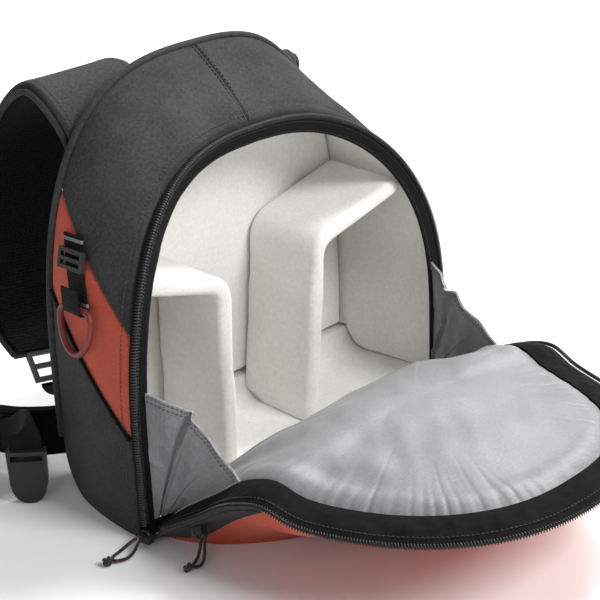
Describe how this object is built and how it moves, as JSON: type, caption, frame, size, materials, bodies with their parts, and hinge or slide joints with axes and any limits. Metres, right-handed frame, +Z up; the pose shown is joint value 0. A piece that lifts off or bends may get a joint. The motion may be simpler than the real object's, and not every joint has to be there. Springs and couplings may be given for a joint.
{
  "type": "camera backpack",
  "caption": "Padded camera backpack, unzipped and standing, its front lid laid forward, with dividers inside, shoulder straps and hip wings.",
  "frame": {"origin": "on the floor, under the middle of the bag with its lid laid open", "axes": "+Z up; +Y towards the harness, -Y towards the open lid; +X to the right as seen from the front"},
  "size_m": [0.4111, 0.5318, 0.3182],
  "materials": {
    "shell_grey": "padded dark grey woven nylon",
    "shell_red": "rust red woven nylon",
    "lining_silver": "silver grey coated nylon",
    "plush": "off-white brushed plush over foam",
    "trim_black": "black bound tape",
    "zip_coil": "black nylon coil zip",
    "air_mesh": "black padded air mesh",
    "webbing": "black woven webbing",
    "hardware_black": "black moulded acetal",
    "slider_metal": "black painted die-cast zip sliders",
    "ring_red": "rust red moulded plastic",
    "cord_black": "black braided cord with red flecks"
  },
  "bodies": {
    "root": {"shell_upper": "shell_grey", "shell_lower_left": "shell_grey", "shell_lower_right": "shell_grey", "shell_base": "shell_grey", "shell_back": "shell_grey", "lid_pocket_left": "shell_grey", "lid_pocket_right": "shell_grey", "strap_left": "shell_grey", "strap_right": "shell_grey", "shell_red_left": "shell_red", "shell_red_right": "shell_red", "lid_panel": "shell_red", "lid_lining": "lining_silver", "gusset_left": "lining_silver", "gusset_right": "lining_silver", "plush_floor": "plush", "plush_back": "plush", "plush_walls": "plush", "divider_left": "plush", "divider_centre": "plush", "back_binding": "trim_black", "rim_tape": "trim_black", "lid_band": "trim_black", "lid_seam": "trim_black", "rim_zip": "zip_coil", "lid_zip": "zip_coil", "strap_mesh_left": "air_mesh", "strap_mesh_right": "air_mesh", "back_pad": "air_mesh", "hip_wing_left": "air_mesh", "hip_wing_right": "air_mesh", "gear_webbing": "webbing", "strap_webbing_left": "webbing", "strap_webbing_right": "webbing", "hip_webbing_left": "webbing", "hip_webbing_right": "webbing", "gear_glide": "hardware_black", "strap_ladder_left": "hardware_black", "strap_ladder_right": "hardware_black", "hip_buckle_left": "hardware_black", "hip_buckle_right": "hardware_black", "slider_main": "slider_metal", "slider_pocket": "slider_metal", "gear_ring": "ring_red", "pull_cord_main": "cord_black", "pull_knot_main": "cord_black", "pull_cord_pocket": "cord_black", "pull_knot_pocket": "cord_black"}
  },
  "joints": []
}
